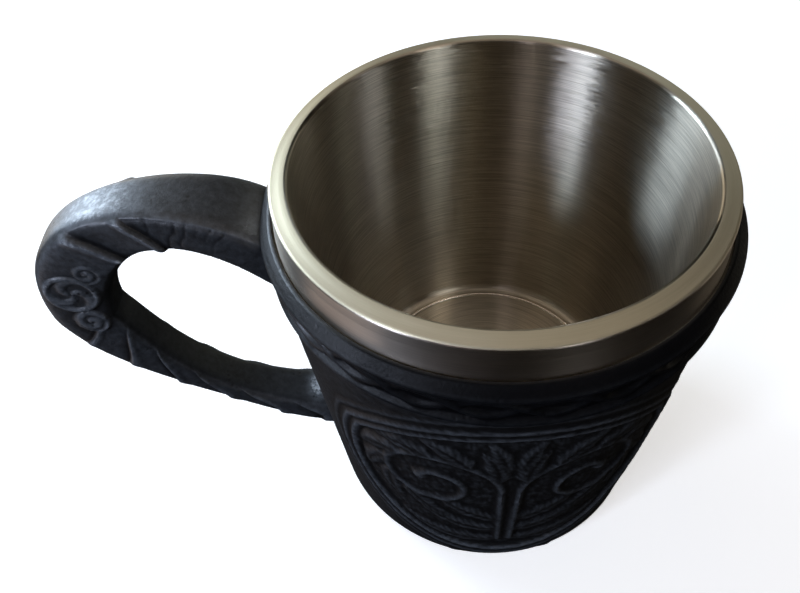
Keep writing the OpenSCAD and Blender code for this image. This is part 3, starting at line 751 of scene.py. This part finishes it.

# The grey paint is thin all over the strap, thicker on edges and corners, and thickest and palest in one
# patch by the heel. On top of the bend a pale patch is partly worn paint and partly a painted sheen.
strap_rub, face_rub, carved_rub = 0.20, 0.10, 0.30
strap_edge_rub, corner_rub, palm_rub, heel_rub = 0.9, 0.3, 1.1, 2.4
worn_sheen_at, worn_sheen_long = 0.265, 0.06
heel_at, heel_long = 0.974, 0.010
outer_face = ease((out - 0.8) / 0.15)
strap_corner = ease((np.abs(out) - 0.72) / 0.2) * ease((np.abs(wide) - 0.72) / 0.2)
# Pale patch on top of the bend: a painted sheen, partly worn paint.
worn_sheen = np.exp(-((u - worn_sheen_at) / worn_sheen_long) ** 2) * ease((out - 0.86) / 0.1)
heel_patch = np.exp(-((u - heel_at) / heel_long) ** 2 - ((out + 1) / 0.25) ** 2
                    - ((wide - 0.1) / 0.6) ** 2)
handle_rub = np.clip(strap_rub + face_rub * outer_face + carved_rub * carving
                     + strap_edge_rub * (carving - softened(carving, 8)) + corner_rub * strap_corner
                     + heel_rub * heel_patch + palm_rub * worn_sheen, 0, 2)
strap = np.arange(u.size).reshape(u.shape)
next_line = np.roll(strap, -1, axis=1)
quads = np.stack([strap[:-1], next_line[:-1], next_line[1:], strap[1:]], -1).reshape(-1, 4)
caps = np.vstack([np.stack([next_line[0], strap[0], np.full(section_steps, u.size)], -1),
                  np.stack([strap[-1], next_line[-1], np.full(section_steps, u.size + 1)], -1)])
points = np.vstack([skin_points.reshape(-1, 3), skin_points[0].mean(0), skin_points[-1].mean(0)])
handle = make_piece("handle_strap", points, quads.tolist() + caps.tolist(),
                    {"rub": np.append(handle_rub.ravel(), [0, 0])})
handle.data.materials.append(stained_resin("polyester_resin_cold_cast_stained", False))
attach(handle, "root")
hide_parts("handle")

# Floor: a plain pale paper sweep under the mug. It glows, more with distance, so that it stays white. It
# neither lights the mug nor shows in it, so that resin and steel show the lights and the dim room only.
floor_half = 4.0
floor_mesh = bpy.data.meshes.new("floor")
corners = np.array([(-1, -1, 0), (1, -1, 0), (1, 1, 0), (-1, 1, 0)]) * floor_half
floor_mesh.from_pydata(corners, [], [(0, 1, 2, 3)])
floor = bpy.data.objects.new("floor", floor_mesh)
bpy.context.scene.collection.objects.link(floor)
paper, paper_tree = finish_tree("paper_sweep_white")
paper_place = add(paper_tree, "TexCoord", {}).outputs["Object"]
distance = add(paper_tree, "VectorMath", {0: paper_place}, operation="LENGTH").outputs["Value"]
lit = add(paper_tree, "MapRange", {"Value": distance, "From Min": 0.25, "From Max": 0.9,
                                   "To Min": 0.60, "To Max": 1.0})
sheet_white = add(paper_tree, "BsdfPrincipled", {
    "Base Color": linear("#e6e6e6"), "Roughness": 0.9, "Emission Color": linear("#ffffff"),
    "Emission Strength": lit.outputs[0]})
add(paper_tree, "OutputMaterial", {"Surface": sheet_white.outputs[0]})
floor_mesh.materials.append(paper)
floor.visible_glossy = False
floor.visible_diffuse = False
floor.visible_shadow = False

# Room: the dim, warm space that the steel and the resin reflect. It is a little brighter towards the ceiling
# and the table, and white for the camera alone.
room = bpy.data.worlds.new("room")
bpy.context.scene.world = room
room.use_nodes = True
room_tree = room.node_tree
room_tree.nodes.clear()
way = add(room_tree, "TexCoord", {}).outputs["Generated"]
upward = add(room_tree, "SeparateXYZ", {"Vector": way}).outputs["Z"]
slope = add(room_tree, "Math", {0: upward}, operation="ABSOLUTE")
dim = add(room_tree, "Mix", {0: slope.outputs[0], 6: linear("#0b0a08"), 7: linear("#16130f")},
          data_type="RGBA")
seen = add(room_tree, "LightPath", {}).outputs["Is Camera Ray"]
shown = add(room_tree, "Mix", {0: seen, 6: dim.outputs[2], 7: linear("#ffffff")}, data_type="RGBA")
light = add(room_tree, "Background", {"Color": shown.outputs[2], "Strength": 1.0})
add(room_tree, "OutputWorld", {"Surface": light.outputs[0]})

# Camera: where the photograph was taken from, close above the rim and turned a little past the mug's front.
# Its focal length is given in pixels of a picture 800 wide.
view_turn, view_rise, view_reach = np.radians(-9), np.radians(39.826), 146.31 * MM
yaw, pitch, roll = np.radians(7.243), np.radians(-11.185), np.radians(1.970)
film_wide, focal, picture_wide = 36.0, 720, 800
rim_centre = Matrix.Translation((0, 0, rim_z * MM))
stand_off = Matrix.Translation((0, -view_reach * np.cos(view_rise), view_reach * np.sin(view_rise)))
eye = bpy.data.cameras.new("camera")
eye.sensor_width, eye.sensor_fit = film_wide, "HORIZONTAL"
eye.lens = film_wide * focal / picture_wide
eye.clip_start = 0.01
camera = bpy.data.objects.new("camera", eye)
camera.matrix_world = (rim_centre @ Matrix.Rotation(view_turn, 4, "Z") @ stand_off
                       @ Matrix.Rotation(np.pi / 2 - view_rise, 4, "X") @ Matrix.Rotation(yaw, 4, "Y")
                       @ Matrix.Rotation(pitch, 4, "X") @ Matrix.Rotation(roll, 4, "Z"))
bpy.context.scene.collection.objects.link(camera)
bpy.context.scene.camera = camera
bpy.context.scene.view_settings.view_transform = "Standard"

# Light: two windows in panes, one with a curtain to the left and behind and one in front, weak lamps and a
# doorway to the right, and the ceiling, back wall and table as large dim panels. Each has its angle from the
# camera's side, positive to the right, its rise above the rim, its reach, its width and height, and its glow.
for name, aside, rise, reach, width, height, glow, tint in (
        ("window_left_low", -121, 9, 0.9, 0.62, 0.32, 5.4, "#dcedff"),
        ("window_left_mid", -112, 24.5, 0.9, 0.34, 0.17, 34.0, "#d8ebff"),
        ("window_left_far", -135, 24.5, 0.9, 0.38, 0.17, 1.8, "#eaf7ff"),
        ("curtain_left", -150, 9, 0.9, 0.30, 0.32, 2.0, "#fff3dc"),
        ("table_left", -124, -14, 0.9, 0.80, 0.30, 1.4, "#ffecd0"),
        ("window_front_low", -41.5, 19, 0.9, 0.27, 0.16, 24.0, "#d8e2ff"),
        ("window_front_top", -47, 28, 0.9, 0.13, 0.125, 42.0, "#d8eaff"),
        ("window_front_high", -40, 40, 0.9, 0.26, 0.20, 2.2, "#ffe6cc"),
        ("lamp_right_low", 34, 8, 0.9, 0.20, 0.20, 2.7, "#f4f8ff"),
        ("lamp_right_high", 47, 48, 0.9, 0.20, 0.24, 2.9, "#fff2e7"),
        ("doorway_right", 81, 30, 0.9, 0.14, 0.30, 0.6, "#e6eeff"),
        ("glimmer_front", -14, 36, 0.9, 0.12, 0.60, 1.35, "#f3e8f2"),
        ("ceiling", 180, 78, 1.1, 1.40, 0.80, 0.62, "#ffeedb"),
        ("wall_back", 156, 6, 1.1, 1.20, 0.45, 0.60, "#f4f6e4"),
        ("table_right", 108, -13, 1.1, 0.70, 0.34, 0.5, "#fff4e0"),
        ("table_front_left", -72, -35, 0.9, 0.55, 0.40, 0.48, "#fff0ee")):
    lamp = bpy.data.lights.new(name, "AREA")
    lamp.shape, lamp.size, lamp.size_y = "RECTANGLE", width, height
    lamp.energy = glow * np.pi * width * height
    lamp.color = linear(tint)[:3]
    softbox = bpy.data.objects.new(name, lamp)
    around, above = view_turn - np.pi / 2 + np.radians(aside), np.radians(rise)
    toward = Vector((np.cos(around) * np.cos(above), np.sin(around) * np.cos(above), np.sin(above)))
    softbox.location = Vector((0, 0, rim_z * MM)) + toward * reach
    softbox.rotation_euler = (-toward).to_track_quat("-Z", "Y").to_euler()
    softbox.visible_camera = False
    bpy.context.scene.collection.objects.link(softbox)
